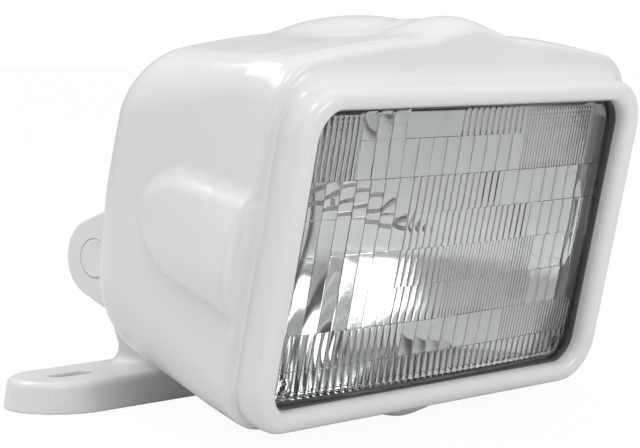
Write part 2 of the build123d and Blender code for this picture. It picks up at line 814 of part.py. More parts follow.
# Base bracket: slotted foot, riser that leans back and knuckle between the lugs
with BuildPart() as riser:
    with BuildSketch(Plane.YZ):
        with BuildLine():
            Line((-riser_front, riser_base), (riser_back, riser_base))
            CenterArc((pivot_setback, pivot_height), knuckle_radius, 0, 360)
        make_hull()
    extrude(amount=riser_foot, both=True)
    with BuildSketch(Plane.XZ):
        with BuildLine():
            for sign in (-1, 1):
                Line(
                    (sign * knuckle_half_width, pivot_height + knuckle_radius),
                    (sign * knuckle_half_width, foot_height + riser_flare),
                )
                RadiusArc(
                    (sign * knuckle_half_width, foot_height + riser_flare),
                    (sign * riser_foot, foot_height),
                    sign * riser_flare,
                )
                Line((sign * riser_foot, foot_height), (sign * riser_foot, riser_base))
            Line(
                (-knuckle_half_width, pivot_height + knuckle_radius),
                (knuckle_half_width, pivot_height + knuckle_radius),
            )
            Line((-riser_foot, riser_base), (riser_foot, riser_base))
        make_face()
    extrude(amount=foot_depth, both=True, mode=Mode.INTERSECT)
with BuildPart() as base_bracket:
    with BuildSketch():
        SlotOverall(2 * foot_half_length, foot_depth)
    extrude(amount=foot_height, taper=foot_draft)
    fillet(base_bracket.faces().sort_by(Axis.Z)[-1].edges(), foot_edge)
    add(riser.part)
    with BuildSketch():
        with GridLocations(slot_spacing, 0, 2, 1):
            SlotOverall(slot_length, slot_width)
    extrude(amount=foot_height, mode=Mode.SUBTRACT)
    with BuildSketch(Plane.YZ):
        with Locations((pivot_setback, pivot_height)):
            Circle(sleeve_radius + running_gap)
    extrude(amount=knuckle_half_width, both=True, mode=Mode.SUBTRACT)
base_bracket.part.label = "base_bracket"
export_step(base_bracket.part, "parts/base_bracket.step")
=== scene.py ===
import math
from collections import namedtuple

import bpy
import numpy as np
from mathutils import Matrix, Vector


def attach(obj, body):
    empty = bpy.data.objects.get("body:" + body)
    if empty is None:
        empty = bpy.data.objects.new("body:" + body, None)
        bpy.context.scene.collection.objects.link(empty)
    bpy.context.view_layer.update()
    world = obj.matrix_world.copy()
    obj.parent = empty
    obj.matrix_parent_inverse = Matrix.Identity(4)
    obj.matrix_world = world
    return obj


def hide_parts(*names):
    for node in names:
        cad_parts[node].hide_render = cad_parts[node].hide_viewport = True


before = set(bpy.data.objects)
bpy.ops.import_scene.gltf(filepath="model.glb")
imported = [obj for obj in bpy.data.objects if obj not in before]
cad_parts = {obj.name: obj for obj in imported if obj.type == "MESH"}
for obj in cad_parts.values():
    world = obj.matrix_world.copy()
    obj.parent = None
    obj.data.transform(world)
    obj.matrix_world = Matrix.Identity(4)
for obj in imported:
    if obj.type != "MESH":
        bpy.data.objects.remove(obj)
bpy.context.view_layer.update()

# The object's sizes are in millimetres; materials, floor, lamps and camera are in metres.
# The head has its own directions: across it, up its face, and depth behind the opening of its
# bezel, which are called x, u and w below.
MM = 0.001
TILT = math.radians(12.9)
UP = np.array([0.0, -math.sin(TILT), math.cos(TILT)])
BACK = np.array([0.0, math.cos(TILT), math.sin(TILT)])
HEAD = np.stack([np.array([1.0, 0.0, 0.0]), UP, BACK])
PIN = np.array([0.0, 6.9, 46.9])
PIN_DROP = 37.0
PIN_DEPTH = 121.5
OPENING_MIDDLE = PIN + UP * PIN_DROP - BACK * PIN_DEPTH

# Rounded outlines as half width, half height and corner radius
Outline = namedtuple("Outline", "half_width half_height corner")
OPENING = Outline(76.4, 46.0, 9.0)
BEZEL = Outline(85.4, 52.5, 15.5)
FLANGE = Outline(82.5, 50.0, 12.0)
MOUTH = Outline(83.6, 51.0, 13.2)
GLASS_GAP = 0.5
PRESSED_INSET = 1.4


def inset(outline, by):
    """The outline made smaller by the same amount on every side."""
    return Outline(*(round(size - by, 3) for size in outline))


GLASS_EDGE = inset(OPENING, GLASS_GAP)
PRESSED_EDGE = inset(OPENING, PRESSED_INSET)


def head_to_frame(points):
    """Points in the head's directions as places in the frame."""
    return (OPENING_MIDDLE + np.asarray(points, float) @ HEAD) * MM


# Meshes


def make_piece(name, points, faces, body, material, normals=None):
    """A smooth-shaded mesh that rides on a body; normals may be given face corner by face corner."""
    mesh = bpy.data.meshes.new(name)
    mesh.from_pydata(points.tolist(), [], faces.tolist())
    mesh.polygons.foreach_set("use_smooth", np.ones(len(mesh.polygons), bool))
    mesh.materials.append(material)
    if normals is not None:
        mesh.normals_split_custom_set(normals.reshape(-1, 3).tolist())
    mesh.update()
    piece = bpy.data.objects.new(name, mesh)
    bpy.context.scene.collection.objects.link(piece)
    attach(piece, body)
    return piece


def outward(points, faces):
    """Quads turned so that a closed mesh has its normals outside."""
    a, b, c, d = (points[faces[:, i]] for i in range(4))
    volume = np.einsum("ij,ij->i", a, np.cross(b, c) + np.cross(c, d)).sum()
    return faces if volume > 0 else faces[:, ::-1]


def closed_head_piece(name, points, faces, material):
    """A piece of the head, from a closed mesh in the head's directions."""
    world = head_to_frame(points)
    return make_piece(name, world, outward(world, faces), "head", material)


def ring_faces(rows, count, closed=False):
    """Quads between rows that are rings of points; a closed one joins its last row to its first."""
    here = np.arange(count)
    beside = (here + 1) % count
    quads = []
    for row in range(rows if closed else rows - 1):
        first = row * count
        second = (row + 1) % rows * count
        quads.append(np.stack([first + here, first + beside, second + beside, second + here], -1))
    return np.concatenate(quads)


def grid_index(rows, columns):
    """Numbers of a grid's points, row by row."""
    return np.arange(rows * columns).reshape(rows, columns)


def grid_faces(rows, columns):
    """Quads between the points of a grid."""
    index = grid_index(rows, columns)
    return np.stack([index[:-1, :-1], index[:-1, 1:], index[1:, 1:], index[1:, :-1]], -1).reshape(-1, 4)


def grid_border(rows, columns):
    """Border points of a grid, in order."""
    index = grid_index(rows, columns)
    return np.concatenate([index[0, :-1], index[:-1, -1], index[-1, :0:-1], index[:0:-1, 0]])


def rounded_path(outline, arc_steps=20, run_steps=12):
    """Points and outward normals round a rounded rectangle."""
    path, normals = [], []
    quarters = ((1, 1, 0), (-1, 1, 90), (-1, -1, 180), (1, -1, 270))

    def centre_of(quarter):
        across, up, _ = quarters[quarter % len(quarters)]
        half_sizes = np.array([outline.half_width, outline.half_height])
        return (half_sizes - outline.corner) * (across, up)

    for quarter, (_, _, start) in enumerate(quarters):
        for step in range(arc_steps + 1):
            angle = math.radians(start + 90 * step / arc_steps)
            normals.append(np.array([math.cos(angle), math.sin(angle)]))
            path.append(centre_of(quarter) + normals[-1] * outline.corner)
        run_start = path[-1]
        run_end = centre_of(quarter + 1) + normals[-1] * outline.corner
        for step in range(1, run_steps):
            path.append(run_start + (run_end - run_start) * step / run_steps)
            normals.append(normals[-1])
    return np.array(path), np.array(normals)


def swept_rings(levels):
    """Closed tube through levels of (path, normals, outward shift, depth)."""
    rows = []
    for path, normals, out, depth in levels:
        rows.append(np.column_stack([path + normals * out, np.full(len(path), depth)]))
    return np.concatenate(rows), ring_faces(len(rows), len(rows[0]), closed=True)


def lathe(profile, segments=72):
    """Profile of (along, radius) turned about the first direction."""
    angle = np.linspace(0, 2 * math.pi, segments, endpoint=False)
    rows = [
        np.stack([np.full(segments, along_axis), radius * np.cos(angle), radius * np.sin(angle)], -1)
        for along_axis, radius in profile
    ]
    return np.concatenate(rows), ring_faces(len(rows), segments)


# Meshes of shapes that are given as distances: negative inside, zero on the surface

SAMPLE_BLOCK = 8
SAMPLE_REACH = 1.15
CHUNK_BLOCKS = 500
SLOPE_STEP = 0.02
CELL_SLACK = 0.6
STAY_NEAR_MEAN = 0.08
CRISP_BELOW = 0.985
CORNER_SHIFT = 0.3


def slope_of(field, points):
    """Unit direction in which a field rises."""
    slope = np.empty_like(points)
    for axis in range(3):
        shift = np.zeros(3)
        shift[axis] = SLOPE_STEP
        slope[:, axis] = field(points + shift) - field(points - shift)
    return slope / np.maximum(np.linalg.norm(slope, axis=1, keepdims=True), 1e-9)


def sample(field, low, high, step):
    """A field's values on a grid, worked out only near its zero surface."""
    size = SAMPLE_BLOCK * step
    counts = np.ceil((np.array(high, float) - low) / size).astype(int)
    axes = [low[i] + (np.arange(counts[i]) + 0.5) * size for i in range(3)]
    centres = np.stack(np.meshgrid(*axes, indexing="ij"), -1).reshape(-1, 3)
    coarse = field(centres).reshape(counts)
    signs = np.sign(coarse)
    for axis in range(3):
        signs = np.repeat(signs, SAMPLE_BLOCK, axis)
    values = np.ones(counts * SAMPLE_BLOCK + 1)
    values[:-1, :-1, :-1] = signs
    offsets = np.stack(np.meshgrid(*[np.arange(SAMPLE_BLOCK + 1)] * 3, indexing="ij"), -1).reshape(-1, 3)
    starts = np.argwhere(np.abs(coarse) < size * SAMPLE_REACH) * SAMPLE_BLOCK
    for chunk in np.array_split(starts, max(1, len(starts) // CHUNK_BLOCKS)):
        index = (chunk[:, None, :] + offsets[None]).reshape(-1, 3)
        values[tuple(index.T)] = field(low + index * step)
    return values


def crossings(field, values, low, step, number):
    """Where the surface cuts the grid's edges: the four cells round each, its place and its slope."""
    size = np.array(values.shape) - 1
    inside = values < 0
    quads, spots = [], []
    for axis in range(3):
        one = np.zeros(3, int)
        one[axis] = 1
        first = inside[: size[0] + 1 - one[0], : size[1] + 1 - one[1], : size[2] + 1 - one[2]]
        edge = np.argwhere(first != inside[one[0] :, one[1] :, one[2] :])
        p, q = [i for i in range(3) if i != axis]
        keep = (edge[:, p] > 0) & (edge[:, q] > 0) & (edge[:, p] < size[p]) & (edge[:, q] < size[q])
        edge = edge[keep]
        start = values[tuple(edge.T)]
        share = start / (start - values[tuple((edge + one).T)])
        spots.append(low + (edge + share[:, None] * one) * step)
        ring = []
        for shift_p, shift_q in ((1, 1), (0, 1), (0, 0), (1, 0)):
            cell = edge.copy()
            cell[:, p] -= shift_p
            cell[:, q] -= shift_q
            ring.append(number[tuple(cell.T)])
        ring = np.stack(ring, -1)
        flip = inside[tuple(edge.T)] ^ (axis == 1)
        ring[flip] = ring[flip][:, ::-1]
        quads.append(ring)
    spots = np.concatenate(spots)
    return np.concatenate(quads), spots, slope_of(field, spots)


def sharp_points(faces, spots, slopes, middles, step):
    """The point of each cell that lies best on the planes where the surface cuts its edges."""
    owner = faces.T.reshape(-1)
    spots = np.tile(spots, (4, 1))
    slopes = np.tile(slopes, (4, 1))
    hits = np.maximum(np.bincount(owner, minlength=len(middles)), 1)[:, None]

    def gather(value):
        return np.bincount(owner, value, len(middles))

    mean = np.stack([gather(spots[:, i]) for i in range(3)], -1) / hits
    height = ((spots - mean[owner]) * slopes).sum(1)
    planes = np.stack([[gather(slopes[:, i] * slopes[:, j]) for j in range(3)] for i in range(3)])
    planes = np.moveaxis(planes, 2, 0) + STAY_NEAR_MEAN * np.eye(3)
    pull = np.stack([gather(slopes[:, i] * height) for i in range(3)], -1)
    move = np.linalg.solve(planes, pull[..., None])[..., 0]
    points = np.clip(mean + move, middles - CELL_SLACK * step, middles + CELL_SLACK * step)
    agreement = np.stack([gather(slopes[:, i]) for i in range(3)], -1) / hits
    return points, np.linalg.norm(agreement, axis=1) < CRISP_BELOW


def polygonise(field, low, high, step):
    """Quad mesh of a field's zero surface that keeps its edges, with a normal for each face corner."""
    low = np.array(low, float)
    values = sample(field, low, high, step)
    size = np.array(values.shape) - 1
    total = np.zeros(size, np.int8)
    for i, j, k in np.ndindex(2, 2, 2):
        total += values[i : i + size[0], j : j + size[1], k : k + size[2]] < 0
    active = (total > 0) & (total < 8)
    cells = np.argwhere(active)
    number = np.full(active.shape, -1, np.int64)
    number[active] = np.arange(len(cells))
    faces, spots, slopes = crossings(field, values, low, step, number)
    points, crisp = sharp_points(faces, spots, slopes, low + (cells + 0.5) * step, step)
    normals = slope_of(field, points)[faces]
    centres = points[faces].mean(1)
    face, place = np.nonzero(crisp[faces])
    corner = points[faces[face, place]]
    normals[face, place] = slope_of(field, corner + CORNER_SHIFT * (centres[face] - corner))
    return points, faces, normals


def turned(points, faces, normals):
    """Faces and corner normals wound so that the faces look the way of their normals."""
    a, b, c, d = (points[faces[:, i]] for i in range(4))
    wrong = (np.cross(c - a, d - b) * normals.sum(1)).sum() < 0
    return (faces[:, ::-1], normals[:, ::-1]) if wrong else (faces, normals)


# Ways to join distances


def round_and(a, b, radius):
    """What lies in both shapes, with a rounded edge between them."""
    edge = np.hypot(np.maximum(a + radius, 0), np.maximum(b + radius, 0))
    return np.minimum(-radius, np.maximum(a, b)) + edge


def round_or(a, b, radius):
    """Both shapes together, with a rounded corner between them."""
    return -round_and(-a, -b, radius)


def soft_max(a, b, width):
    """The larger of two values, with a soft change between them."""
    share = np.clip(0.5 + 0.5 * (a - b) / width, 0, 1)
    return b + (a - b) * share + width * share * (1 - share)


def smooth(share):
    """From nothing to one, with a soft start and a soft end."""
    share = np.clip(share, 0, 1)
    return share * share * (3 - 2 * share)


def rounded_box(past_x, past_y, corner):
    """Distance to a rounded corner from how far a point lies past its two sides."""
    x = past_x + corner
    y = past_y + corner
    return np.minimum(np.maximum(x, y), 0) + np.hypot(np.maximum(x, 0), np.maximum(y, 0)) - corner


def outline_distance(x, y, outline):
    """Distance to a rounded outline about the middle."""
    return rounded_box(np.abs(x) - outline.half_width, np.abs(y) - outline.half_height, outline.corner)


def tangent_hull(p, q, centre, radius, upper_root, lower_root):
    """Distance to a circle joined by tangents to a root edge that lies before it along p."""

    def tangent(root, side):
        dp, dq = centre[0] - root[0], centre[1] - root[1]
        angle = math.atan2(dq, dp) + side * math.asin(radius / math.hypot(dp, dq))
        return math.cos(angle), math.sin(angle)

    upper = tangent(upper_root, 1)
    lower = tangent(lower_root, -1)
    from_p, from_q = p - centre[0], q - centre[1]
    above = from_q * upper[0] - from_p * upper[1]
    below = from_p * lower[1] - from_q * lower[0]
    past_upper = from_p * upper[0] + from_q * upper[1] > 0
    past_lower = from_p * lower[0] + from_q * lower[1] > 0
    round_end = np.hypot(from_p, from_q)
    return np.where(past_upper & past_lower, round_end, np.maximum(above, below)) - radius


# Head housing: depths of the front band, the rim, the collar's end and the rear
BAND, RIM, COLLAR, REAR = 7.3, 9.4, 26.5, 93.0
REAR_FACE, REAR_ROUND = 92.6, 19.1
WALL = 2.6
SIDE_BOW = 2.0
LOWER_REAR_NARROWING = 4.4
TOP_FALL, SIDE_TOP_FALL, UNDERSIDE_RISE = 8.58, 8.6, 3.6
BROW_HALF, CHIN_HALF, CHIN = 25.0, 18.0, 2.6
BROW_FADE, CHIN_FADE = (22.0, 19.2), (25.0, 13.0)
RIDGE_TOP, RIDGE_PEAK, RIDGE_BLEND = 64.06, 35.8, 2.5
RIDGE_ACROSS, RIDGE_AHEAD, RIDGE_BEHIND = 36.9, 14.2, 89.5
BULGE_MIDDLE, BULGE_HALF = -1.0, 17.4
BULGE_DEPTHS = (RIM, 45.0, 52.0, 56.0, 59.6, 63.0, 70.0)
BULGE_HALVES = (BULGE_HALF, 14.2, 10.4, 8.2, 5.2, 0.4, -9.0)
LUG_MIDDLE, LUG_HALF_THICKNESS, LUG_ROUND, LUG_ROOT = 32.0, 5.0, 13.5, 68.0
LUG_TOP, LUG_UNDERSIDE = 14.8, -60.4
SEAT_DEPTH, BEZEL_BACK = 15.4, 7.0
BEZEL_RECESS_INSET, OVERLAP = 1.5, 0.1
CAP_POCKET, CAP_POCKET_START, PIN_BORE = 6.75, 30.4, 3.2
GROMMET_BORE, GROMMET_START = 6.2, 86.0
GROMMET_UP = 20.0


def along(w, *sizes):
    """A size that changes straight between the rim, the end of the collar and the rear."""
    return np.interp(w, (RIM, COLLAR, REAR), sizes)


def hump(distance, reach):
    """One in the middle, down to nothing at the reach."""
    return 0.5 + 0.5 * np.cos(np.pi * np.minimum(distance / reach, 1))


def fading(w, start, length):
    """One up to the start, then softly down to nothing over the length."""
    return 1 - smooth((w - start) / length)


def crest_height(ax, w, share):
    """Height of the top: falling to the sides, with a long ridge and the brow in the middle."""
    top = np.interp(w, (BAND, 14.0, COLLAR, REAR), (65.3, 65.3, 63.2, 48.0))
    ahead = np.maximum(RIDGE_PEAK - w, 0) ** 2 / (2 * RIDGE_AHEAD)
    behind = np.maximum(w - RIDGE_PEAK, 0) ** 2 / (2 * RIDGE_BEHIND)
    ridge = RIDGE_TOP - ax**2 / (2 * RIDGE_ACROSS) - ahead - behind
    brow = np.interp(w, (BAND, 18.0), (3.1, 5.2)) * hump(ax, BROW_HALF) * fading(w, *BROW_FADE)
    return soft_max(top - TOP_FALL * share**2, ridge, RIDGE_BLEND) + brow, top


def side_bulge(ax, u, w, half, shrink):
    """Long boss on each side that narrows to the rear; its crown is an arc."""
    up = u - BULGE_MIDDLE
    tall = np.interp(w, BULGE_DEPTHS, BULGE_HALVES) + 1.4 * smooth(-u / 9) - shrink
    peak = np.interp(w, (RIM, 48.0, 63.0), (95.0, 85.4, 79.6)) - shrink
    rise = np.maximum(peak - half + shrink - 1.2, 0.3)
    radius = (BULGE_HALF**2 + rise**2) / (2 * rise)
    arch = np.hypot(ax - peak + radius, up) - radius
    bulge = round_and(arch, np.abs(up) - tall, 2.6 + 2.0 * smooth((-u - 2) / 8))
    return round_and(bulge, BEZEL_BACK - w, 0.5)


def shell(x, u, w, shrink):
    """Rounded tapered shell of the head, with its brow, chin, top ridge and side bulges."""
    ax = np.abs(x)
    half = along(w, 88.5, 85.0, 74.6)
    low = along(w, 56.4, 57.6, 58.2)
    share = np.minimum(ax / (half - SIDE_BOW), 1.0)
    crest, top = crest_height(ax, w, share)
    chin = CHIN * hump(ax, CHIN_HALF) * fading(w, *CHIN_FADE)
    keel = low - UNDERSIDE_RISE * share**2 + chin
    middle = (top - SIDE_TOP_FALL - low + UNDERSIDE_RISE) / 2
    span = (top - SIDE_TOP_FALL + low - UNDERSIDE_RISE) / 2
    side = half - SIDE_BOW * np.clip((u - middle) / span, -1.2, 1.2) ** 2
    rearward = np.clip((w - RIM) / (REAR - RIM), 0, 1)
    side -= LOWER_REAR_NARROWING * np.clip(-u / 55.0, 0, 1) * rearward
    corner = np.where(u > 0, along(w, 12.1, 10.6, 19.2), along(w, 15.4, 18.4, 30.0)) - shrink
    body = rounded_box(ax - side + shrink, np.maximum(u - crest, -u - keel) + shrink, corner)
    body = round_and(body, w - REAR_FACE + shrink, REAR_ROUND - shrink)
    blend = 0.5 + 6.0 * smooth((u + 5) / 9) * smooth((70 - w) / 14)
    return round_or(body, side_bulge(ax, u, w, half, shrink), blend)


def housing(points):
    """Head housing: the hollow shell, its front band and cove, the hinge lugs and the openings."""
    x, u, w = points.T
    ax = np.abs(x)
    outer = shell(x, u, w, 0.0)
    beside = outline_distance(x, u, BEZEL)
    roomy = smooth((beside - outer - 3.2) / 5.0)
    face = BAND + 0.6 * np.clip(ax - BEZEL.half_width, 0, 4.5) - w
    cove = 1.2 + 5.0 * roomy
    front = round_or(face, np.maximum(beside, face - cove), cove)
    body = round_and(outer, front, 1.0 + 1.4 * roomy)
    pin_place = (PIN_DEPTH, -PIN_DROP)
    lug = tangent_hull(w, u, pin_place, LUG_ROUND, (LUG_ROOT, LUG_TOP), (LUG_ROOT, LUG_UNDERSIDE))
    lug = np.maximum(lug, LUG_ROOT - w)
    lug = round_and(lug, np.abs(ax - LUG_MIDDLE) - LUG_HALF_THICKNESS, 0.9)
    body = round_or(body, lug, 1.8)
    from_pin = np.hypot(w - PIN_DEPTH, u + PIN_DROP)
    cuts = (
        np.maximum(beside + BEZEL_RECESS_INSET, w - BEZEL_BACK - OVERLAP / 2),
        np.maximum(outline_distance(x, u, MOUTH), w - SEAT_DEPTH - OVERLAP),
        np.maximum(shell(x, u, w, WALL), SEAT_DEPTH - OVERLAP - w),
        np.maximum(from_pin - CAP_POCKET, CAP_POCKET_START - ax),
        from_pin - PIN_BORE,
        np.maximum(np.hypot(x, u - GROMMET_UP) - GROMMET_BORE, GROMMET_START - w),
    )
    for cut in cuts:
        body = np.maximum(body, -cut)
    return body


# Base bracket
FOOT_HEIGHT, FOOT_END, FOOT_ROUND = 10.2, 59.05, 18.65
FOOT_DRAFT = math.radians(8.0)
RISER_HALF, RISER_ROUND, RISER_ROOT = 25.75, 12.0, 7.8
RISER_AHEAD, RISER_BEHIND = (RISER_ROOT, 13.0), (RISER_ROOT, -3.5)
SLOT_PLACE, SLOT_STRAIGHT, SLOT_ROUND = 54.0, 5.5, 3.5
SLEEVE_BORE = 4.6


def bracket(points):
    """Long rounded foot with slots, and an upright that leans back to the pin."""
    x, y, z = points.T
    ax = np.abs(x)
    reach = FOOT_ROUND - z * math.tan(FOOT_DRAFT)
    foot = (np.hypot(np.maximum(ax - FOOT_END, 0), y) - reach) * math.cos(FOOT_DRAFT)
    foot = round_and(foot, z - FOOT_HEIGHT, 2.4)
    foot = round_and(foot, -z, 0.6)
    riser = tangent_hull(z, -y, (PIN[2], -PIN[1]), RISER_ROUND, RISER_AHEAD, RISER_BEHIND)
    riser = np.maximum(riser, RISER_ROOT - z)
    riser = round_and(riser, ax - RISER_HALF, 0.6)
    body = round_or(foot, riser, 2.6 + 5.4 * smooth((ax - 21.0) / 5.0))
    slot = np.hypot(np.maximum(np.abs(ax - SLOT_PLACE) - SLOT_STRAIGHT, 0), y) - SLOT_ROUND
    body = round_and(body, -slot, 0.7)
    bore = np.hypot(y - PIN[1], z - PIN[2]) - SLEEVE_BORE
    return round_and(body, -bore, 0.3)


# Procedural materials

REFRACTION = 1.5


def nodes_of(name):
    """A new material with its tree, its shader and the places on its object."""
    material = bpy.data.materials.new(name)
    material.use_nodes = True
    tree = material.node_tree
    place = tree.nodes.new("ShaderNodeTexCoord")
    return material, tree, tree.nodes["Principled BSDF"], place.outputs["Object"]


def noise(tree, place, scale, detail, rough=0.55):
    """Cloudy pattern, with its scale for each metre."""
    texture = tree.nodes.new("ShaderNodeTexNoise")
    texture.inputs["Scale"].default_value = scale
    texture.inputs["Detail"].default_value = detail
    texture.inputs["Roughness"].default_value = rough
    tree.links.new(place, texture.inputs["Vector"])
    return texture.outputs["Fac"]


def spread(tree, value, low, high, start=0.3, end=0.7):
    """A value between start and end, stretched to run from low to high."""
    node = tree.nodes.new("ShaderNodeMapRange")
    node.inputs["From Min"].default_value = start
    node.inputs["From Max"].default_value = end
    node.inputs["To Min"].default_value = low
    node.inputs["To Max"].default_value = high
    tree.links.new(value, node.inputs["Value"])
    return node.outputs["Result"]


def tint(tree, value, dark, light):
    """Colour that changes from a dark to a light tone."""
    ramp = tree.nodes.new("ShaderNodeValToRGB")
    for element, position, colour in zip(ramp.color_ramp.elements, (0.3, 0.7), (dark, light)):
        element.position = position
        element.color = (*colour, 1)
    tree.links.new(value, ramp.inputs["Fac"])
    return ramp.outputs["Color"]


def bump(tree, value, shader, strength, distance):
    """Shallow relief that follows a pattern."""
    node = tree.nodes.new("ShaderNodeBump")
    node.inputs["Strength"].default_value = strength
    node.inputs["Distance"].default_value = distance
    tree.links.new(value, node.inputs["Height"])
    tree.links.new(node.outputs["Normal"], shader.inputs["Normal"])


def edge_wear(tree):
    """From nothing on flat places to one where edges stand out."""
    geometry = tree.nodes.new("ShaderNodeNewGeometry")
    return spread(tree, geometry.outputs["Pointiness"], 0.0, 1.0, 0.52, 0.60)


def plastic(name, light, dark, roughness=0.15, peel=0.03):
    """Glossy moulded plastic: faint mottling, fine orange peel and duller handled edges."""
    material, tree, shader, place = nodes_of(name)
    tree.links.new(tint(tree, noise(tree, place, 14.0, 3.0), dark, light), shader.inputs["Base Color"])
    haze = noise(tree, place, 60.0, 5.0, 0.6)
    wear = edge_wear(tree)
    worn = tree.nodes.new("ShaderNodeMath")
    worn.operation = "MULTIPLY_ADD"
    worn.inputs[1].default_value = 0.12
    tree.links.new(wear, worn.inputs[0])
    tree.links.new(spread(tree, haze, roughness - 0.04, roughness + 0.06), worn.inputs[2])
    tree.links.new(worn.outputs[0], shader.inputs["Roughness"])
    shader.inputs["IOR"].default_value = REFRACTION
    bump(tree, noise(tree, place, 420.0, 2.0), shader, peel, 0.0004)
    return material


def glass(name, light, dark):
    """Clear pressed glass with a hint of colour and slightly uneven polish."""
    material, tree, shader, place = nodes_of(name)
    tree.links.new(tint(tree, noise(tree, place, 30.0, 3.0), dark, light), shader.inputs["Base Color"])
    shader.inputs["Transmission Weight"].default_value = 1.0
    shader.inputs["IOR"].default_value = REFRACTION
    tree.links.new(spread(tree, noise(tree, place, 90.0, 4.0), 0.0, 0.015), shader.inputs["Roughness"])
    bump(tree, noise(tree, place, 220.0, 2.0), shader, 0.03, 0.0003)
    return material


def metal(name, light, dark, roughness, scale, strength=0.08):
    """Metal with an uneven grain in its colour, gloss and relief."""
    material, tree, shader, place = nodes_of(name)
    shader.inputs["Metallic"].default_value = 1.0
    grain = noise(tree, place, scale, 5.0, 0.6)
    tree.links.new(tint(tree, grain, dark, light), shader.inputs["Base Color"])
    tree.links.new(spread(tree, grain, roughness * 0.8, roughness * 1.3), shader.inputs["Roughness"])
    bump(tree, grain, shader, strength, 0.0002)
    return material


def matte(name, light, dark, roughness, scale=150.0, strength=0.25):
    """Duller material with a mottled tone and a finer relief."""
    material, tree, shader, place = nodes_of(name)
    grain = noise(tree, place, scale, 5.0, 0.6)
    tree.links.new(tint(tree, grain, dark, light), shader.inputs["Base Color"])
    tree.links.new(spread(tree, grain, roughness - 0.08, roughness + 0.08), shader.inputs["Roughness"])
    bump(tree, noise(tree, place, scale * 4, 3.0), shader, strength, 0.0003)
    return material


WHITE = plastic("moulded_white", (0.81, 0.80, 0.805), (0.78, 0.772, 0.775))
WHITE_BEZEL = plastic("bezel_white", (0.82, 0.812, 0.812), (0.795, 0.787, 0.787), 0.14)
WHITE_FOOT = plastic("bracket_white", (0.81, 0.805, 0.80), (0.775, 0.77, 0.765), 0.24, 0.06)
GLASS = glass("lens_clear", (0.97, 0.985, 0.985), (0.95, 0.965, 0.965))
SILVER = metal("silver_film", (0.78, 0.785, 0.785), (0.71, 0.72, 0.72), 0.07, 25.0, 0.02)
BOWL = matte("bowl_grey", (0.55, 0.57, 0.58), (0.47, 0.49, 0.50), 0.25, 40.0, 0.05)
GASKET = matte("gasket_grey", (0.11, 0.105, 0.10), (0.08, 0.077, 0.074), 0.5)
RUBBER = matte("black_rubber", (0.045, 0.045, 0.048), (0.028, 0.028, 0.03), 0.6)
STEEL = metal("stainless", (0.62, 0.62, 0.63), (0.50, 0.50, 0.51), 0.28, 160.0)
BRASS = metal("tinned_brass", (0.72, 0.60, 0.36), (0.60, 0.48, 0.26), 0.3, 120.0)
NICKEL = metal("nickel_wire", (0.60, 0.59, 0.57), (0.48, 0.47, 0.45), 0.25, 200.0)
TUNGSTEN = metal("tungsten", (0.40, 0.40, 0.41), (0.28, 0.28, 0.29), 0.4, 300.0)
BLACK = matte("connector_black", (0.06, 0.06, 0.062), (0.04, 0.04, 0.042), 0.5)
NYLON = matte("nylon_disc", (0.72, 0.71, 0.67), (0.62, 0.61, 0.57), 0.45, 90.0, 0.1)
RED = matte("lead_red", (0.50, 0.05, 0.04), (0.38, 0.035, 0.03), 0.4, 90.0, 0.08)
YELLOW = matte("lead_yellow", (0.62, 0.47, 0.05), (0.50, 0.37, 0.04), 0.4, 90.0, 0.08)
BLACK_LEAD = matte("lead_black", (0.05, 0.05, 0.05), (0.03, 0.03, 0.03), 0.42, 90.0, 0.08)

CAD_FINISH = {
    "seat_gasket": RUBBER,
    "reflector_bowl": BOWL,
    "post_ferrules": STEEL,
    "lead_posts": NICKEL,
    "terminal_blades": BRASS,
    "beam_connector": BLACK,
    "connector_contacts": BRASS,
    "lead_low": RED,
    "lead_high": YELLOW,
    "lead_common": BLACK_LEAD,
    "pivot_bolt": STEEL,
    "pivot_nut": STEEL,
    "pivot_washers": STEEL,
    "friction_discs": NYLON,
    "pivot_sleeve": STEEL,
}
for node, finish in CAD_FINISH.items():
    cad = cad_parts[node]
    if not cad.data.materials:
        cad.data.materials.append(finish)
    for material_slot in cad.material_slots:
        material_slot.material = finish


# Head housing and base bracket: the space that each is sought in, and the size of its cells
HOUSING_SPACE, HOUSING_CELL = ((-98, -64, -3), (98, 76, 138)), 0.8
BRACKET_SPACE, BRACKET_CELL = ((-81, -22, -3), (81, 24, 63)), 0.7

points, faces, normals = polygonise(housing, *HOUSING_SPACE, HOUSING_CELL)
points = head_to_frame(points)
faces, normals = turned(points, faces, normals @ HEAD)
housing_piece = make_piece("housing_shell", points, faces, "head", WHITE, normals)
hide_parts("head_housing")

points, faces, normals = polygonise(bracket, *BRACKET_SPACE, BRACKET_CELL)
points = points * MM
faces, normals = turned(points, faces, normals)
bracket_piece = make_piece("bracket_body", points, faces, "base", WHITE_FOOT, normals)
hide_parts("base_bracket")

# Front bezel: a bead that is rounded to both sides, with straight walls behind it
BEAD_ROUND, BEAD_DEPTH = 3.2, 0.2
WALL_FRONT = 2.4


def bead_arc(middle, start, end, count=12):
    """Points of (outward shift, depth) on the bead's rounding, whose front is at 90 degrees."""
    angles = np.radians(np.linspace(start, end, count))
    return [(middle + BEAD_ROUND * math.cos(a), BEAD_DEPTH - BEAD_ROUND * math.sin(a)) for a in angles]


opening_path, path_normals = rounded_path(OPENING)
bezel_path = rounded_path(BEZEL)[0]
inner_levels = [(0.0, BEZEL_BACK), (0.0, WALL_FRONT)] + bead_arc(BEAD_ROUND, 180, 90)
outer_levels = bead_arc(-BEAD_ROUND, 90, 0)
outer_levels += [(0.0, WALL_FRONT), (0.0, 6.8), (-0.3, BEZEL_BACK), (-3.0, BEZEL_BACK)]
levels = [(opening_path, path_normals, *level) for level in inner_levels]
levels += [(bezel_path, path_normals, *level) for level in outer_levels]
points, faces = swept_rings(levels)
bezel_piece = closed_head_piece("bezel_bead", points, faces, WHITE_BEZEL)
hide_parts("front_bezel")

